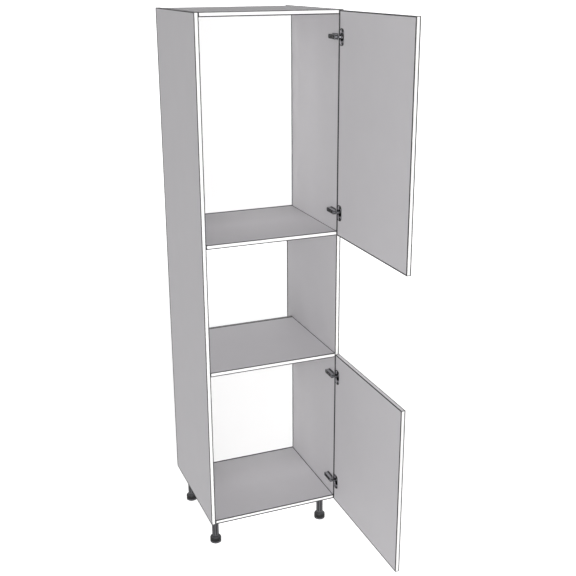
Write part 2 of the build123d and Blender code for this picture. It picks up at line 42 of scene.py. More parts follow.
# Lamps and sky, with angles in degrees
FRONT_LAMP_STRENGTH = 7.65
FRONT_LAMP_SIZE = 200.0 * MM
FRONT_LAMP_ASIDE = (100.0 * MM, -100.0 * MM, 0.0)  # right of the camera and below it
FILL_HEIGHT = 3.0
FILL_SOFTNESS = 60.0
RIGHT_FILL_HEADING = -110.0
RIGHT_FILL_STRENGTH = 0.85
REAR_FILL_HEADING = 200.0
REAR_FILL_STRENGTH = 0.65
SKY_AT_HORIZON = 0.46
SKY_OVERHEAD = 0.26
BACKGROUND_WHITE = 1.0

# Floor, in metres: close to the unit its own glow is low, so that shadows show
FLOOR_REACH = 120.0
FLOOR_GLOW_NEAR = 0.6
FLOOR_GLOW_FAR = 1.0
FLOOR_NEAR = 2.0
FLOOR_FAR = 7.0

# Colours, as sRGB
FACE_GREY = "#C6C4C7"
BACK_WHITE = "#F8F8F7"
EDGING_WHITE = "#FAFAF9"
# LINE_DARK is the dark line along the arrises, and also the painted shade on the boards
LINE_DARK = "#2C2B2E"
CHIP_LIGHT = "#B79A72"
CHIP_DARK = "#7E6445"
LEG_GREY = "#565659"
# LEG_BLACK is the darker grain of the legs, and their painted shade in the flutes and on the grip
LEG_BLACK = "#121213"
CUP_NICKEL = "#B4B2B8"
CHEEK_NICKEL = "#A6A6AA"
# Painted shade on the web of each hinge arm
WEB_PAINTED_SHADE = "#343436"
PLATE_NICKEL = "#6E6E70"
LINK_NICKEL = "#6C6C70"
# CORNER_BLACK is the painted shade on the hinges, and the dark rim of the cups' flanges and rear ends of the
# arms
CORNER_BLACK = "#1A1A1B"
PIN_STEEL = "#8E8E90"
SCREW_BLACK = "#1E1E20"
BEECH_LIGHT = "#D0AC7C"
BEECH_DARK = "#A97F50"
PURE_WHITE = "#FFFFFF"
FLOOR_WHITE = "#F2F2F2"

# Gloss, as the shader's specular level
BOARD_GLOSS = 0.2
TOP_GLOSS = 0.05
LEG_GLOSS = 0.3

# Dark line along the arrises: its widths, and the share of them that is full dark
LINE_WIDTH = 4.0 * MM
EDGING_LINE_WIDTH = 2.8 * MM
SHELF_LOWER_LINE_WIDTH = 4.6 * MM
BASE_LOWER_LINE_WIDTH = 6.5 * MM
INNER_EDGING_LINE_WIDTH = 4.6 * MM
OUTER_EDGING_LINE_WIDTH = 5.2 * MM
SIDE_LOWER_LINE_WIDTH = 7.0 * MM
SIDE_REAR_LINE_WIDTH = 13.0 * MM
DOOR_LOWER_LINE_WIDTH = 5.4 * MM
BACK_LOWER_LINE_WIDTH = 5.5 * MM
LINE_CORE = 0.8

# Patterns, by the width that one mark takes. Most real marks are finer than the render can show
PEARL = 3.0 * MM  # pearl of the press plate, 0.4 mm on the real board, drawn coarser so that it shows
PEARL_DEPTH = 0.03 * MM
PEARL_RELIEF = 0.35
CLOUD = 110.0 * MM  # slow unevenness of the printed paper, at its real size
CLOUD_SHARE = 0.06
CHIP = 4.0 * MM  # chips in a sawn edge, 1 to 3 mm on the real board, drawn coarser so that they show
CHIP_CONTRAST = 1.6
RIPPLE = 2.0 * MM  # ripples in extruded edging, 0.2 mm on the real strip, drawn coarser so that they show
RIPPLE_DEPTH = 0.02 * MM
RIPPLE_RELIEF = 0.3
SPARK_GRAIN = 1.6 * MM  # grain of a spark-cut mould, 0.1 mm on the real leg, drawn coarser so that it shows
SPARK_GRAIN_SHARE = 0.2
SPARK_DEPTH = 0.06 * MM
SPARK_RELIEF = 0.5
DRAW_MARK = 0.8 * MM  # marks of the press tool, 0.05 mm on the real strip, drawn coarser so that they show
DRAW_MARK_STRETCH = 12.0
DRAW_MARK_SMOOTHER = 0.06
DRAW_MARK_ROUGHER = 0.08
DRAW_DEPTH = 0.01 * MM
DRAW_RELIEF = 0.4
FLECK = 0.7 * MM  # ray flecks of the beech, at their real width
FLECK_STRETCH = 8.0
FLECK_DEPTH = 0.05 * MM
FLECK_RELIEF = 0.5

# Hinge sizes that the finishes follow
DOOR_INNER_FACE = 282.0 * MM
FLANGE_LENGTH = 66.0 * MM
FLANGE_WIDTH = 37.0 * MM
FLANGE_CORNER = 15.0 * MM
FLANGE_RIM = 2.4 * MM
FLANGE_RIM_FADE = 1.8 * MM
FLANGE_RIM_SHIFT = 1.2 * MM
CUP_WELL_TOP = 0.2 * MM
CUP_WELL_DARK = 4.0 * MM
CUP_SCREW_SPACING = 48.0 * MM
CUP_SCREW_RING = 7.4 * MM
CUP_SCREW_RING_FADE = 1.2 * MM
ARM_HALF_WIDTH = 8.5 * MM
ARM_BEND = 2.8 * MM
ARM_BEND_FADE = 1.6 * MM
ARM_FOOT = 3.5 * MM
ARM_END = 9.0 * MM
LINK_LIGHT_HALF = 3.4 * MM
LINK_DARK_HALF = 4.6 * MM

# Leg sizes that the finishes follow
TUBE_RADIUS = 15.0 * MM
FLUTE_FADE_OUT = 0.1 * MM
FLUTE_DARK = 0.7 * MM
GRIP_LOW = 10.5 * MM
GRIP_LOW_FADE = 1.0 * MM
GRIP_HIGH = 23.0 * MM
GRIP_HIGH_FADE = 9.0 * MM

# Sides of the grey boards that carry no edging and show the sawn chipboard
SAWN_SIDES = {
    "left_side_panel": [REAR, DOWN],
    "right_side_panel": [REAR, DOWN],
    "base_panel": [REAR],
    "top_panel": [REAR],
}

# Sides in another tone than the rest of their board: painted shade on ends and on the base's top face,
# and painted light on the right side's inner face. Side, and share and colour of what is mixed in
UPPER_END_SHADE_SHARE = 0.75
INNER_FACE_LIGHT_SHARE = 0.05
BASE_FACE_SHADE_SHARE = 0.11
WHOLE = 1.0
PAINTED_LIGHT_AND_SHADE_SIDES = {
    "left_side_panel": [(UP, UPPER_END_SHADE_SHARE, LINE_DARK)],
    "right_side_panel": [(UP, UPPER_END_SHADE_SHARE, LINE_DARK), (LEFT, INNER_FACE_LIGHT_SHARE, EDGING_WHITE)],
    "base_panel": [(UP, BASE_FACE_SHADE_SHARE, LINE_DARK)],
    "upper_back_panel": [(UP, WHOLE, FACE_GREY), (DOWN, WHOLE, FACE_GREY)],
    "lower_back_panel": [(UP, UPPER_END_SHADE_SHARE, LINE_DARK), (DOWN, WHOLE, FACE_GREY)],
}

# Faces that run up to a white back: side, and share of dark right beside the back. It evens out the
# light that the back throws on them, as the photograph shows these faces in one flat tone
BACK_PANELS = ("upper_back_panel", "lower_back_panel")
CORNER_REACH = 260.0 * MM
SIDE_CORNER_SHARE = 0.16
SHELF_CORNER_SHARE = 0.26
FACES_BESIDE_BACKS = {
    "left_side_panel": [(RIGHT, SIDE_CORNER_SHARE)],
    "right_side_panel": [(LEFT, SIDE_CORNER_SHARE)],
    "base_panel": [(UP, SHELF_CORNER_SHARE)],
    "upper_shelf": [(UP, SHELF_CORNER_SHARE)],
}

# The upper back stands behind its shelf, so its lower line is measured from the shelf's underside
shelf_low, shelf_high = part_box("upper_shelf")
SHELF_THICKNESS = shelf_high[Z] - shelf_low[Z]

# Edges whose line the photograph shows wider or stronger: face, edge and width
WIDE_EDGES = {
    "left_side_panel": [(LEFT, DOWN, SIDE_LOWER_LINE_WIDTH), (LEFT, REAR, SIDE_REAR_LINE_WIDTH),
                        (RIGHT, REAR, SIDE_REAR_LINE_WIDTH)],
    "right_side_panel": [(RIGHT, DOWN, SIDE_LOWER_LINE_WIDTH), (RIGHT, REAR, SIDE_REAR_LINE_WIDTH),
                         (LEFT, REAR, SIDE_REAR_LINE_WIDTH)],
    "upper_back_panel": [(FRONT, DOWN, SHELF_THICKNESS + BACK_LOWER_LINE_WIDTH)],
    "lower_back_panel": [(FRONT, DOWN, BACK_LOWER_LINE_WIDTH)],
    "upper_door_board": [(LEFT, DOWN, DOOR_LOWER_LINE_WIDTH)],
    "lower_door_board": [(LEFT, DOWN, DOOR_LOWER_LINE_WIDTH)],
    "left_side_edging": [(FRONT, RIGHT, INNER_EDGING_LINE_WIDTH)],
    "right_side_edging": [(FRONT, RIGHT, OUTER_EDGING_LINE_WIDTH)],
    "upper_door_upright_edging": [(FRONT, RIGHT, OUTER_EDGING_LINE_WIDTH)],
    "lower_door_upright_edging": [(FRONT, RIGHT, OUTER_EDGING_LINE_WIDTH)],
    "upper_door_end_edging": [(UP, RIGHT, OUTER_EDGING_LINE_WIDTH)],
    "lower_door_end_edging": [(UP, RIGHT, OUTER_EDGING_LINE_WIDTH)],
    "base_edging": [(FRONT, DOWN, BASE_LOWER_LINE_WIDTH)],
    "oven_shelf_edging": [(FRONT, DOWN, SHELF_LOWER_LINE_WIDTH)],
    "upper_shelf_edging": [(FRONT, DOWN, SHELF_LOWER_LINE_WIDTH)],
    "top_edging": [(FRONT, DOWN, SHELF_LOWER_LINE_WIDTH)],
}

# Sockets of the Mix node when it mixes colours
SHARE, UNDER, OVER, MIXED = 0, 6, 7, 2


def linear(code):
    """sRGB hex to the linear colour that shaders take."""
    channels = [int(code[i:i + 2], 16) / 255 for i in (1, 3, 5)]
    return tuple(c / 12.92 if c <= 0.04045 else ((c + 0.055) / 1.055) ** 2.4 for c in channels) + (1.0,)


def add_node(tree, kind, inputs=None, output=0, **settings):
    """Adds a node with its settings, fills or links its inputs, and gives one of its outputs."""
    node = tree.nodes.new(kind)
    for name, value in settings.items():
        setattr(node, name, value)
    for socket, source in (inputs or {}).items():
        if isinstance(source, bpy.types.NodeSocket):
            tree.links.new(source, node.inputs[socket])
        else:
            node.inputs[socket].default_value = source
    return node.outputs[output]


def new_material(name, colour, roughness, metallic=0.0, ior=1.5, gloss=0.5):
    """A material with the values that are the same all over it on the shader's own sockets."""
    material = bpy.data.materials.new(name)
    material.use_nodes = True
    tree = material.node_tree
    shader = tree.nodes["Principled BSDF"]
    shader.inputs["Base Color"].default_value = linear(colour)
    shader.inputs["Roughness"].default_value = roughness
    shader.inputs["Metallic"].default_value = metallic
    shader.inputs["IOR"].default_value = ior
    shader.inputs["Specular IOR Level"].default_value = gloss
    return material, tree, shader


def middle(node_name, axis):
    """Middle of a piece along one axis."""
    low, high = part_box(node_name)
    return (low[axis] + high[axis]) / 2


def side_facing(tree, side):
    """One on the sides of a piece that face one way, nothing elsewhere."""
    axis, sign = side
    normal = add_node(tree, "ShaderNodeTexCoord", output="Normal")
    part = add_node(tree, "ShaderNodeSeparateXYZ", {0: normal}, output=axis)
    outward = add_node(tree, "ShaderNodeMath", {0: part, 1: sign}, operation="MULTIPLY")
    return add_node(tree, "ShaderNodeMath", {0: outward, 1: FACING}, operation="GREATER_THAN")


def arris_distance(tree, node_name):
    """Distance from the nearest arris of a board: the middle one of the distances from its three
    pairs of sides."""
    low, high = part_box(node_name)
    place = add_node(tree, "ShaderNodeTexCoord", output="Object")
    from_low = add_node(tree, "ShaderNodeVectorMath", {0: place, 1: tuple(low)}, operation="SUBTRACT")
    from_high = add_node(tree, "ShaderNodeVectorMath", {0: tuple(high), 1: place}, operation="SUBTRACT")
    inset = add_node(tree, "ShaderNodeVectorMath", {0: from_low, 1: from_high}, operation="MINIMUM")
    x, y, z = (add_node(tree, "ShaderNodeSeparateXYZ", {0: inset}, output=axis) for axis in (X, Y, Z))
    lesser = add_node(tree, "ShaderNodeMath", {0: x, 1: y}, operation="MINIMUM")
    greater = add_node(tree, "ShaderNodeMath", {0: x, 1: y}, operation="MAXIMUM")
    capped = add_node(tree, "ShaderNodeMath", {0: greater, 1: z}, operation="MINIMUM")
    return add_node(tree, "ShaderNodeMath", {0: lesser, 1: capped}, operation="MAXIMUM")


def edge_band(tree, node_name, face, edge, width):
    """One along one edge of one face of a board."""
    axis, sign = edge
    low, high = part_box(node_name)
    end = (high if sign > 0 else low)[axis]
    place = add_node(tree, "ShaderNodeTexCoord", output="Object")
    reach = add_node(tree, "ShaderNodeSeparateXYZ", {0: place}, output=axis)
    start = end - sign * width
    full = end - sign * LINE_CORE * width
    band = add_node(tree, "ShaderNodeMapRange", {"Value": reach, "From Min": start, "From Max": full},
                    interpolation_type="SMOOTHSTEP")
    return add_node(tree, "ShaderNodeMath", {0: band, 1: side_facing(tree, face)}, operation="MULTIPLY")


def arris_line(tree, node_name, width):
    """One along every arris, fading out at the line's width, and along the edges with a wider line."""
    distance = arris_distance(tree, node_name)
    line = add_node(tree, "ShaderNodeMapRange",
                    {"Value": distance, "From Min": width, "From Max": LINE_CORE * width},
                    interpolation_type="SMOOTHSTEP")
    for face, edge, edge_width in WIDE_EDGES.get(node_name, ()):
        band = edge_band(tree, node_name, face, edge, edge_width)
        line = add_node(tree, "ShaderNodeMath", {0: line, 1: band}, operation="MAXIMUM")
    return line


def back_corner(tree, back):
    """One on a board right beside a back panel, fading out away from it."""
    low, high = (Vector(corner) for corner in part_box(back))
    place = add_node(tree, "ShaderNodeTexCoord", output="Object")
    offset = add_node(tree, "ShaderNodeVectorMath", {0: place, 1: (low + high) / 2}, operation="SUBTRACT")
    offset = add_node(tree, "ShaderNodeVectorMath", {0: offset}, operation="ABSOLUTE")
    beyond = add_node(tree, "ShaderNodeVectorMath", {0: offset, 1: (high - low) / 2}, operation="SUBTRACT")
    beyond = add_node(tree, "ShaderNodeVectorMath", {0: beyond, 1: (0, 0, 0)}, operation="MAXIMUM")
    reach = add_node(tree, "ShaderNodeVectorMath", {0: beyond}, output="Value", operation="LENGTH")
    return add_node(tree, "ShaderNodeMapRange", {"Value": reach, "From Min": CORNER_REACH, "From Max": 0.0},
                    interpolation_type="SMOOTHSTEP")


# Melamine-faced chipboard, pressed against a finely pearled plate: a flat, dull face with hardly any
# gloss and a slow unevenness of tone, and a dark resin line along each arris. Melamine resin reflects
# more than most plastics, and the pearl breaks that up, so its gloss is set low.
# The top has the least, as it is seen at a low angle, where gloss shows most.
def melamine_board(node_name, colour, finish_name):
    name = node_name + "_" + finish_name
    gloss = TOP_GLOSS if node_name == "top_panel" else BOARD_GLOSS
    material, tree, shader = new_material(name, colour, roughness=0.62, ior=1.6, gloss=gloss)
    place = add_node(tree, "ShaderNodeTexCoord", output="Object")
    cloud = add_node(tree, "ShaderNodeTexNoise", {"Vector": place, "Scale": 1 / CLOUD, "Detail": 4.0})
    cloud = add_node(tree, "ShaderNodeMath", {0: cloud, 1: CLOUD_SHARE}, operation="MULTIPLY")
    layers = [(cloud, linear(EDGING_WHITE))]
    # Painted shade on the ends of boards and on the base's top face, and painted light on the right side's
    # inner face
    for side, strength, side_colour in PAINTED_LIGHT_AND_SHADE_SIDES.get(node_name, ()):
        facing = side_facing(tree, side)
        share = add_node(tree, "ShaderNodeMath", {0: facing, 1: strength}, operation="MULTIPLY")
        layers.append((share, linear(side_colour)))
    for side, strength in FACES_BESIDE_BACKS.get(node_name, ()):
        upper, lower = (back_corner(tree, back) for back in BACK_PANELS)
        corner = add_node(tree, "ShaderNodeMath", {0: upper, 1: lower}, operation="MAXIMUM")
        facing = side_facing(tree, side)
        share = add_node(tree, "ShaderNodeMath", {0: facing, 1: corner}, operation="MULTIPLY")
        share = add_node(tree, "ShaderNodeMath", {0: share, 1: strength}, operation="MULTIPLY")
        layers.append((share, linear(LINE_DARK)))
    for side in SAWN_SIDES.get(node_name, ()):
        chips = add_node(tree, "ShaderNodeTexVoronoi", {"Vector": place, "Scale": 1 / CHIP})
        chips = add_node(tree, "ShaderNodeMath", {0: chips, 1: CHIP_CONTRAST}, operation="MULTIPLY")
        core = add_node(tree, "ShaderNodeMix",
                        {SHARE: chips, UNDER: linear(CHIP_DARK), OVER: linear(CHIP_LIGHT)},
                        output=MIXED, data_type="RGBA")
        layers.append((side_facing(tree, side), core))
    layers.append((arris_line(tree, node_name, LINE_WIDTH), linear(LINE_DARK)))
    tone = linear(colour)
    for share, over in layers:
        tone = add_node(tree, "ShaderNodeMix", {SHARE: share, UNDER: tone, OVER: over},
                        output=MIXED, data_type="RGBA")
    tree.links.new(tone, shader.inputs["Base Color"])
    pearl = add_node(tree, "ShaderNodeTexNoise", {"Vector": place, "Scale": 1 / PEARL, "Detail": 2.0})
    relief = add_node(tree, "ShaderNodeBump",
                      {"Height": pearl, "Distance": PEARL_DEPTH, "Strength": PEARL_RELIEF})
    tree.links.new(relief, shader.inputs["Normal"])
    return material


# ABS edging, extruded and glued on: smooth and a touch glossier than the boards, with faint ripples,
# and a dark glue line round it.
def abs_edging(node_name, colour, finish_name):
    name = node_name + "_" + finish_name
    material, tree, shader = new_material(name, colour, roughness=0.34, ior=1.53)
    place = add_node(tree, "ShaderNodeTexCoord", output="Object")
    line = arris_line(tree, node_name, EDGING_LINE_WIDTH)
    tone = add_node(tree, "ShaderNodeMix", {SHARE: line, UNDER: linear(colour), OVER: linear(LINE_DARK)},
                    output=MIXED, data_type="RGBA")
    tree.links.new(tone, shader.inputs["Base Color"])
    ripples = add_node(tree, "ShaderNodeTexNoise", {"Vector": place, "Scale": 1 / RIPPLE, "Detail": 2.0})
    relief = add_node(tree, "ShaderNodeBump",
                      {"Height": ripples, "Distance": RIPPLE_DEPTH, "Strength": RIPPLE_RELIEF})
    tree.links.new(relief, shader.inputs["Normal"])
    return material


def flute_shade(tree, node_name):
    """Painted shade: one on the outside of a leg's tube down in its flutes, nothing on the round between
    them.
    """
    place = add_node(tree, "ShaderNodeTexCoord", output="Object")
    axis = (middle(node_name, X), middle(node_name, Y), 0)
    offset = add_node(tree, "ShaderNodeVectorMath", {0: place, 1: axis}, operation="SUBTRACT")
    offset = add_node(tree, "ShaderNodeVectorMath", {0: offset, 1: (1, 1, 0)}, operation="MULTIPLY")
    radius = add_node(tree, "ShaderNodeVectorMath", {0: offset}, output="Value", operation="LENGTH")
    start = TUBE_RADIUS - FLUTE_FADE_OUT
    full = TUBE_RADIUS - FLUTE_DARK
    return add_node(tree, "ShaderNodeMapRange", {"Value": radius, "From Min": start, "From Max": full},
                    interpolation_type="SMOOTHSTEP")


def grip_shade(tree, node_name):
    """Painted shade: one from the foot's groove to the top of its notched collar, fading out over its
    shoulder.
    """
    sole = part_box(node_name)[0][Z]
    low = sole + GRIP_LOW
    high = sole + GRIP_HIGH
    place = add_node(tree, "ShaderNodeTexCoord", output="Object")
    height = add_node(tree, "ShaderNodeSeparateXYZ", {0: place}, output=Z)
    over = add_node(tree, "ShaderNodeMapRange",
                    {"Value": height, "From Min": low - GRIP_LOW_FADE, "From Max": low},
                    interpolation_type="SMOOTHSTEP")
    under = add_node(tree, "ShaderNodeMapRange",
                     {"Value": height, "From Min": high + GRIP_HIGH_FADE, "From Max": high},
                     interpolation_type="SMOOTHSTEP")
    return add_node(tree, "ShaderNodeMath", {0: over, 1: under}, operation="MULTIPLY")


# Polypropylene, moulded in a spark-cut tool: dark grey and dull, with a fine grain that scatters what
# little gloss it has, and painted shade in the flutes of the tube and on the grip of the foot.
def moulded_polypropylene(node_name):
    name = node_name + "_moulded_polypropylene"
    material, tree, shader = new_material(name, LEG_GREY, roughness=0.5, ior=1.49, gloss=LEG_GLOSS)
    place = add_node(tree, "ShaderNodeTexCoord", output="Object")
    grain = add_node(tree, "ShaderNodeTexNoise", {"Vector": place, "Scale": 1 / SPARK_GRAIN, "Detail": 3.0})
    layers = [add_node(tree, "ShaderNodeMath", {0: grain, 1: SPARK_GRAIN_SHARE}, operation="MULTIPLY")]
    if node_name.endswith("_tube"):
        layers.append(flute_shade(tree, node_name))
    elif node_name.endswith("_foot"):
        layers.append(grip_shade(tree, node_name))
    tone = linear(LEG_GREY)
    for share in layers:
        tone = add_node(tree, "ShaderNodeMix", {SHARE: share, UNDER: tone, OVER: linear(LEG_BLACK)},
                        output=MIXED, data_type="RGBA")
    tree.links.new(tone, shader.inputs["Base Color"])
    relief = add_node(tree, "ShaderNodeBump",
                      {"Height": grain, "Distance": SPARK_DEPTH, "Strength": SPARK_RELIEF})
    tree.links.new(relief, shader.inputs["Normal"])
    return material


# Pressed steel strip: faint marks of the press tool, drawn out from front to rear, so that its gloss
# is uneven.
def pressed_steel(name, colour, roughness, metallic=1.0):
    material, tree, shader = new_material(name, colour, roughness, metallic)
    place = add_node(tree, "ShaderNodeTexCoord", output="Object")
    stretched = add_node(tree, "ShaderNodeMapping", {"Vector": place, "Scale": (1, 1 / DRAW_MARK_STRETCH, 1)})
    marks = add_node(tree, "ShaderNodeTexNoise", {"Vector": stretched, "Scale": 1 / DRAW_MARK, "Detail": 2.0})
    smoothest = roughness - DRAW_MARK_SMOOTHER
    roughest = roughness + DRAW_MARK_ROUGHER
    spread = add_node(tree, "ShaderNodeMapRange", {"Value": marks, "To Min": smoothest, "To Max": roughest})
    tree.links.new(spread, shader.inputs["Roughness"])
    relief = add_node(tree, "ShaderNodeBump",
                      {"Height": marks, "Distance": DRAW_DEPTH, "Strength": DRAW_RELIEF})
    tree.links.new(relief, shader.inputs["Normal"])
    return material, tree, shader


def flange_rim(tree, node_name):
    """One along the pressed edge of a cup's flange, widest on the side towards the carcass."""
    place = add_node(tree, "ShaderNodeTexCoord", output="Object")
    centre = (0, middle(node_name, Y) - FLANGE_RIM_SHIFT, middle(node_name, Z))
    offset = add_node(tree, "ShaderNodeVectorMath", {0: place, 1: centre}, operation="SUBTRACT")
    offset = add_node(tree, "ShaderNodeVectorMath", {0: offset}, operation="ABSOLUTE")
    straight = (ANY_DEPTH, FLANGE_WIDTH / 2 - FLANGE_CORNER, FLANGE_LENGTH / 2 - FLANGE_CORNER)
    beyond = add_node(tree, "ShaderNodeVectorMath", {0: offset, 1: straight}, operation="SUBTRACT")
    beyond = add_node(tree, "ShaderNodeVectorMath", {0: beyond, 1: (0, 0, 0)}, operation="MAXIMUM")
    reach = add_node(tree, "ShaderNodeVectorMath", {0: beyond}, output="Value", operation="LENGTH")
    full = FLANGE_CORNER - FLANGE_RIM
    start = full - FLANGE_RIM_FADE
    return add_node(tree, "ShaderNodeMapRange", {"Value": reach, "From Min": start, "From Max": full},
                    interpolation_type="SMOOTHSTEP")


def cup_well(tree):
    """Painted shade: one inside a cup, from just below the door's inner face."""
    place = add_node(tree, "ShaderNodeTexCoord", output="Object")
    depth = add_node(tree, "ShaderNodeSeparateXYZ", {0: place}, output=X)
    start = DOOR_INNER_FACE + CUP_WELL_TOP
    full = start + CUP_WELL_DARK
    return add_node(tree, "ShaderNodeMapRange", {"Value": depth, "From Min": start, "From Max": full},
                    interpolation_type="SMOOTHSTEP")


def cup_screw_rings(tree, node_name, screws):
    """Painted shade: one on the flange round the heads of its two screws."""
    place = add_node(tree, "ShaderNodeTexCoord", output="Object")
    centre = (0, middle(screws, Y), middle(node_name, Z))
    offset = add_node(tree, "ShaderNodeVectorMath", {0: place, 1: centre}, operation="SUBTRACT")
    offset = add_node(tree, "ShaderNodeVectorMath", {0: offset}, operation="ABSOLUTE")
    head = (0, 0, CUP_SCREW_SPACING / 2)
    offset = add_node(tree, "ShaderNodeVectorMath", {0: offset, 1: head}, operation="SUBTRACT")
    offset = add_node(tree, "ShaderNodeVectorMath", {0: offset, 1: (0, 1, 1)}, operation="MULTIPLY")
    reach = add_node(tree, "ShaderNodeVectorMath", {0: offset}, output="Value", operation="LENGTH")
    start = CUP_SCREW_RING + CUP_SCREW_RING_FADE
    return add_node(tree, "ShaderNodeMapRange",
                    {"Value": reach, "From Min": start, "From Max": CUP_SCREW_RING},
                    interpolation_type="SMOOTHSTEP")


# Nickel-plated cup: a pale, slightly milky plating on the flange, dark along the flange's pressed
# edge, and painted shade round the screw heads and down in the well.
def cup_nickel(node_name):
    name = node_name + "_nickel_plate"
    material, tree, shader = pressed_steel(name, CUP_NICKEL, roughness=0.42, metallic=0.85)
    screws = node_name[:len("lower_door")] + "_cup_screws"
    rim = flange_rim(tree, node_name)
    rings = cup_screw_rings(tree, node_name, screws)
    dark = add_node(tree, "ShaderNodeMath", {0: rim, 1: rings}, operation="MAXIMUM")
    dark = add_node(tree, "ShaderNodeMath", {0: dark, 1: cup_well(tree)}, operation="MAXIMUM")
    tone = add_node(tree, "ShaderNodeMix",
                    {SHARE: dark, UNDER: linear(CUP_NICKEL), OVER: linear(CORNER_BLACK)},
                    output=MIXED, data_type="RGBA")
    tree.links.new(tone, shader.inputs["Base Color"])
    return material


# Nickel-plated arm: bright cheeks, and painted shade on the web, in the bend along each side of the
# web and where the cheeks meet the mounting plate, and darker at the arm's rear end.
def arm_nickel(node_name):
    name = node_name + "_nickel_with_painted_shade"
    material, tree, shader = pressed_steel(name, CHEEK_NICKEL, roughness=0.42, metallic=0.6)
    place = add_node(tree, "ShaderNodeTexCoord", output="Object")
    height = add_node(tree, "ShaderNodeSeparateXYZ", {0: place}, output=Z)
    height = add_node(tree, "ShaderNodeMath", {0: height, 1: middle(node_name, Z)}, operation="SUBTRACT")
    height = add_node(tree, "ShaderNodeMath", {0: height}, operation="ABSOLUTE")
    full = ARM_HALF_WIDTH - ARM_BEND
    start = full - ARM_BEND_FADE
    bend = add_node(tree, "ShaderNodeMapRange", {"Value": height, "From Min": start, "From Max": full},
                    interpolation_type="SMOOTHSTEP")
    web = side_facing(tree, LEFT)
    bend = add_node(tree, "ShaderNodeMath", {0: bend, 1: web}, operation="MULTIPLY")
    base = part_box(node_name)[1][X]
    depth = add_node(tree, "ShaderNodeSeparateXYZ", {0: place}, output=X)
    foot = add_node(tree, "ShaderNodeMapRange",
                    {"Value": depth, "From Min": base - ARM_FOOT, "From Max": base},
                    interpolation_type="SMOOTHSTEP")
    dark = add_node(tree, "ShaderNodeMath", {0: bend, 1: foot}, operation="MAXIMUM")
    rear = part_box(node_name)[1][Y]
    reach = add_node(tree, "ShaderNodeSeparateXYZ", {0: place}, output=Y)
    end = add_node(tree, "ShaderNodeMapRange",
                   {"Value": reach, "From Min": rear - ARM_END, "From Max": rear},
                   interpolation_type="SMOOTHSTEP")
    dark = add_node(tree, "ShaderNodeMath", {0: dark, 1: end}, operation="MAXIMUM")
    # The web gets painted shade over the bright cheek colour, and the bend, the plate joint and the rear end
    # are darker still
    tone = add_node(tree, "ShaderNodeMix",
                    {SHARE: web, UNDER: linear(CHEEK_NICKEL), OVER: linear(WEB_PAINTED_SHADE)},
                    output=MIXED, data_type="RGBA")
    tone = add_node(tree, "ShaderNodeMix", {SHARE: dark, UNDER: tone, OVER: linear(CORNER_BLACK)},
                    output=MIXED, data_type="RGBA")
    tree.links.new(tone, shader.inputs["Base Color"])
    return material


# Links and pins of the hinges: their own colour in the middle, and painted shade above and below it, towards
# the arm's cheeks.
def shaded_link_steel(name, colour, roughness):
    material, tree, shader = pressed_steel(name, colour, roughness)
    place = add_node(tree, "ShaderNodeTexCoord", output="Object")
    height = add_node(tree, "ShaderNodeSeparateXYZ", {0: place}, output=Z)
    nearest = None
    for arm in nodes:
        if arm.endswith("_hinge_arm"):
            offset = add_node(tree, "ShaderNodeMath", {0: height, 1: middle(arm, Z)}, operation="SUBTRACT")
            offset = add_node(tree, "ShaderNodeMath", {0: offset}, operation="ABSOLUTE")
            if nearest:
                offset = add_node(tree, "ShaderNodeMath", {0: nearest, 1: offset}, operation="MINIMUM")
            nearest = offset
    dark = add_node(tree, "ShaderNodeMapRange",
                    {"Value": nearest, "From Min": LINK_LIGHT_HALF, "From Max": LINK_DARK_HALF},
                    interpolation_type="SMOOTHSTEP")
    tone = add_node(tree, "ShaderNodeMix", {SHARE: dark, UNDER: linear(colour), OVER: linear(CORNER_BLACK)},
                    output=MIXED, data_type="RGBA")
    tree.links.new(tone, shader.inputs["Base Color"])
    return material


# Turned beech dowel: pale, dull wood with short darker flecks along it.
def turned_beech():
    material, tree, shader = new_material("dowel_turned_beech", BEECH_LIGHT, roughness=0.6)
    place = add_node(tree, "ShaderNodeTexCoord", output="Object")
    stretched = add_node(tree, "ShaderNodeMapping", {"Vector": place, "Scale": (1 / FLECK_STRETCH, 1, 1)})
    flecks = add_node(tree, "ShaderNodeTexNoise", {"Vector": stretched, "Scale": 1 / FLECK, "Detail": 4.0})
    tone = add_node(tree, "ShaderNodeMix",
                    {SHARE: flecks, UNDER: linear(BEECH_LIGHT), OVER: linear(BEECH_DARK)},
                    output=MIXED, data_type="RGBA")
    tree.links.new(tone, shader.inputs["Base Color"])
    relief = add_node(tree, "ShaderNodeBump",
                      {"Height": flecks, "Distance": FLECK_DEPTH, "Strength": FLECK_RELIEF})
    tree.links.new(relief, shader.inputs["Normal"])
    return material


def dress(node, material):
    """Gives a piece its finish."""
    node.data.materials.clear()
    node.data.materials.append(material)


def dress_boards():
    """White melamine on the back panels, grey on the rest of the carcass and on the doors."""
    for node_name, node in nodes.items():
        if node_name in BACK_PANELS:
            dress(node, melamine_board(node_name, BACK_WHITE, "white_melamine"))
        elif node_name.endswith(("_panel", "_shelf", "_board")):
            dress(node, melamine_board(node_name, FACE_GREY, "grey_melamine"))


def dress_edging():
    """White edging, and grey on the short ends of the doors."""
    for node_name, node in nodes.items():
        if node_name.endswith("_end_edging"):
            dress(node, abs_edging(node_name, FACE_GREY, "grey_abs"))
        elif node_name.endswith("_edging"):
            dress(node, abs_edging(node_name, EDGING_WHITE, "white_abs"))


def dress_legs():
    for node_name, node in nodes.items():
        if node_name.endswith(("_socket", "_tube", "_foot")):
            dress(node, moulded_polypropylene(node_name))


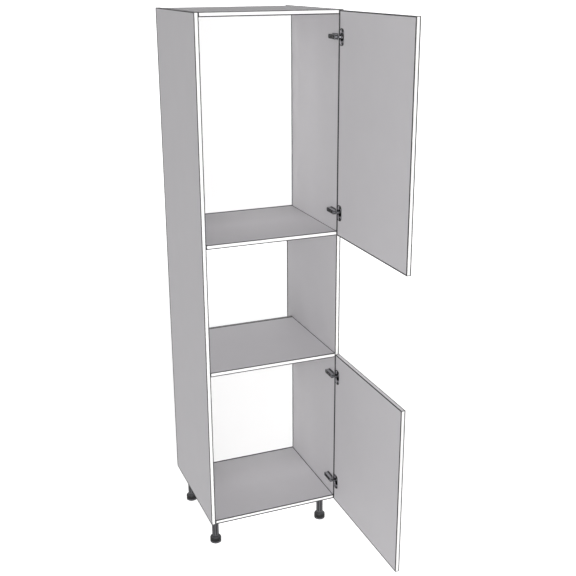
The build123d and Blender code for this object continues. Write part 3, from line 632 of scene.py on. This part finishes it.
def dress_hinges_and_fastenings():
    """One finish for all the small parts of a kind, and for each arm and cup its own."""
    plate = pressed_steel("mounting_plate_nickel_plate", PLATE_NICKEL, roughness=0.45)[0]
    screw = pressed_steel("screw_blackened_steel", SCREW_BLACK, roughness=0.4)[0]
    link = shaded_link_steel("hinge_link_nickel_plate", LINK_NICKEL, roughness=0.45)
    pin = shaded_link_steel("hinge_pin_drawn_steel", PIN_STEEL, roughness=0.3)
    dowel = turned_beech()
    finishes = {
        "_mounting_plate": plate,
        "_screws": screw,
        "_links": link,
        "_goosenecks": link,
        "_pins": pin,
        "_dowels": dowel,
    }
    for node_name, node in nodes.items():
        for ending, material in finishes.items():
            if node_name.endswith(ending):
                dress(node, material)
        if node_name.endswith("_arm"):
            dress(node, arm_nickel(node_name))
        elif node_name.endswith("_cup"):
            dress(node, cup_nickel(node_name))


def make_floor():
    """Pale floor that keeps the unit's soft shadow and runs out to a white background."""
    reach = FLOOR_REACH
    corners = [(-reach, -reach, 0), (reach, -reach, 0), (reach, reach, 0), (-reach, reach, 0)]
    mesh = bpy.data.meshes.new("floor")
    mesh.from_pydata(corners, [], [(0, 1, 2, 3)])
    floor = bpy.data.objects.new("floor", mesh)
    bpy.context.scene.collection.objects.link(floor)
    material, tree, shader = new_material("floor_pale_paper", FLOOR_WHITE, roughness=0.9)
    place = add_node(tree, "ShaderNodeTexCoord", output="Object")
    away = add_node(tree, "ShaderNodeVectorMath", {0: place}, output="Value", operation="LENGTH")
    glow = add_node(tree, "ShaderNodeMapRange",
                    {"Value": away, "From Min": FLOOR_NEAR, "From Max": FLOOR_FAR, "To Min": FLOOR_GLOW_NEAR,
                     "To Max": FLOOR_GLOW_FAR},
                    interpolation_type="SMOOTHSTEP")
    straight = add_node(tree, "ShaderNodeLightPath", output="Is Camera Ray")
    glossy = add_node(tree, "ShaderNodeLightPath", output="Is Glossy Ray")
    seen = add_node(tree, "ShaderNodeMath", {0: straight, 1: glossy}, operation="MAXIMUM")
    glow = add_node(tree, "ShaderNodeMath", {0: seen, 1: glow}, operation="MULTIPLY")
    tree.links.new(glow, shader.inputs["Emission Strength"])
    shader.inputs["Emission Color"].default_value = linear(PURE_WHITE)
    mesh.materials.append(material)


def make_sky():
    """Sky that lights the unit softly from its sides, and shows white behind it."""
    world = bpy.data.worlds.new("studio_sky")
    world.use_nodes = True
    tree = world.node_tree
    background = tree.nodes["Background"]
    background.inputs["Color"].default_value = linear(PURE_WHITE)
    direction = add_node(tree, "ShaderNodeTexCoord", output="Generated")
    height = add_node(tree, "ShaderNodeSeparateXYZ", {0: direction}, output=Z)
    sky = add_node(tree, "ShaderNodeMapRange",
                   {"Value": height, "To Min": SKY_AT_HORIZON, "To Max": SKY_OVERHEAD})
    straight = add_node(tree, "ShaderNodeLightPath", output="Is Camera Ray")
    glossy = add_node(tree, "ShaderNodeLightPath", output="Is Glossy Ray")
    seen = add_node(tree, "ShaderNodeMath", {0: straight, 1: glossy}, operation="MAXIMUM")
    strength = add_node(tree, "ShaderNodeMapRange",
                        {"Value": seen, "To Min": sky, "To Max": BACKGROUND_WHITE})
    tree.links.new(strength, background.inputs["Strength"])
    bpy.context.scene.world = world


def make_camera():
    data = bpy.data.cameras.new("camera")
    data.sensor_width = SENSOR_WIDTH
    data.lens = FOCAL_PIXELS * SENSOR_WIDTH / IMAGE_SIZE
    data.clip_end = SIGHT_END
    camera = bpy.data.objects.new("camera", data)
    turn = (Matrix.Rotation(-math.radians(CAMERA_HEADING), 4, "Z")
            @ Matrix.Rotation(math.radians(90 - CAMERA_DROP), 4, "X")
            @ Matrix.Rotation(math.radians(CAMERA_ROLL), 4, "Z"))
    camera.matrix_world = Matrix.Translation(Vector(CAMERA_PLACE)) @ turn
    bpy.context.scene.collection.objects.link(camera)
    bpy.context.scene.camera = camera


def make_front_lamp():
    """Small round lamp beside the camera, placed so that the edges hide their own shadows, and as
    strong at the back of the cupboards as at the front."""
    light = bpy.data.lights.new("front_lamp", "AREA")
    light.shape = "DISK"
    light.size = FRONT_LAMP_SIZE
    light.energy = FRONT_LAMP_STRENGTH
    light.use_nodes = True
    tree = light.node_tree
    even = add_node(tree, "ShaderNodeLightFalloff", {"Strength": 1.0}, output="Constant")
    tree.links.new(even, tree.nodes["Emission"].inputs["Strength"])
    lamp = bpy.data.objects.new("front_lamp", light)
    lamp.matrix_world = bpy.context.scene.camera.matrix_world @ Matrix.Translation(FRONT_LAMP_ASIDE)
    lamp.visible_camera = False
    bpy.context.scene.collection.objects.link(lamp)


def make_fill(name, heading, strength):
    """Soft even light from low down, with its heading counted as the camera's is."""
    light = bpy.data.lights.new(name, "SUN")
    light.energy = strength
    light.angle = math.radians(FILL_SOFTNESS)
    lamp = bpy.data.objects.new(name, light)
    lamp.rotation_euler = (math.radians(90 - FILL_HEIGHT), 0, -math.radians(heading))
    bpy.context.scene.collection.objects.link(lamp)


dress_boards()
dress_edging()
dress_legs()
dress_hinges_and_fastenings()
make_floor()
make_sky()
make_camera()
make_front_lamp()
make_fill("right_fill", RIGHT_FILL_HEADING, RIGHT_FILL_STRENGTH)
make_fill("rear_fill", REAR_FILL_HEADING, REAR_FILL_STRENGTH)
bpy.context.scene.view_settings.view_transform = "Standard"
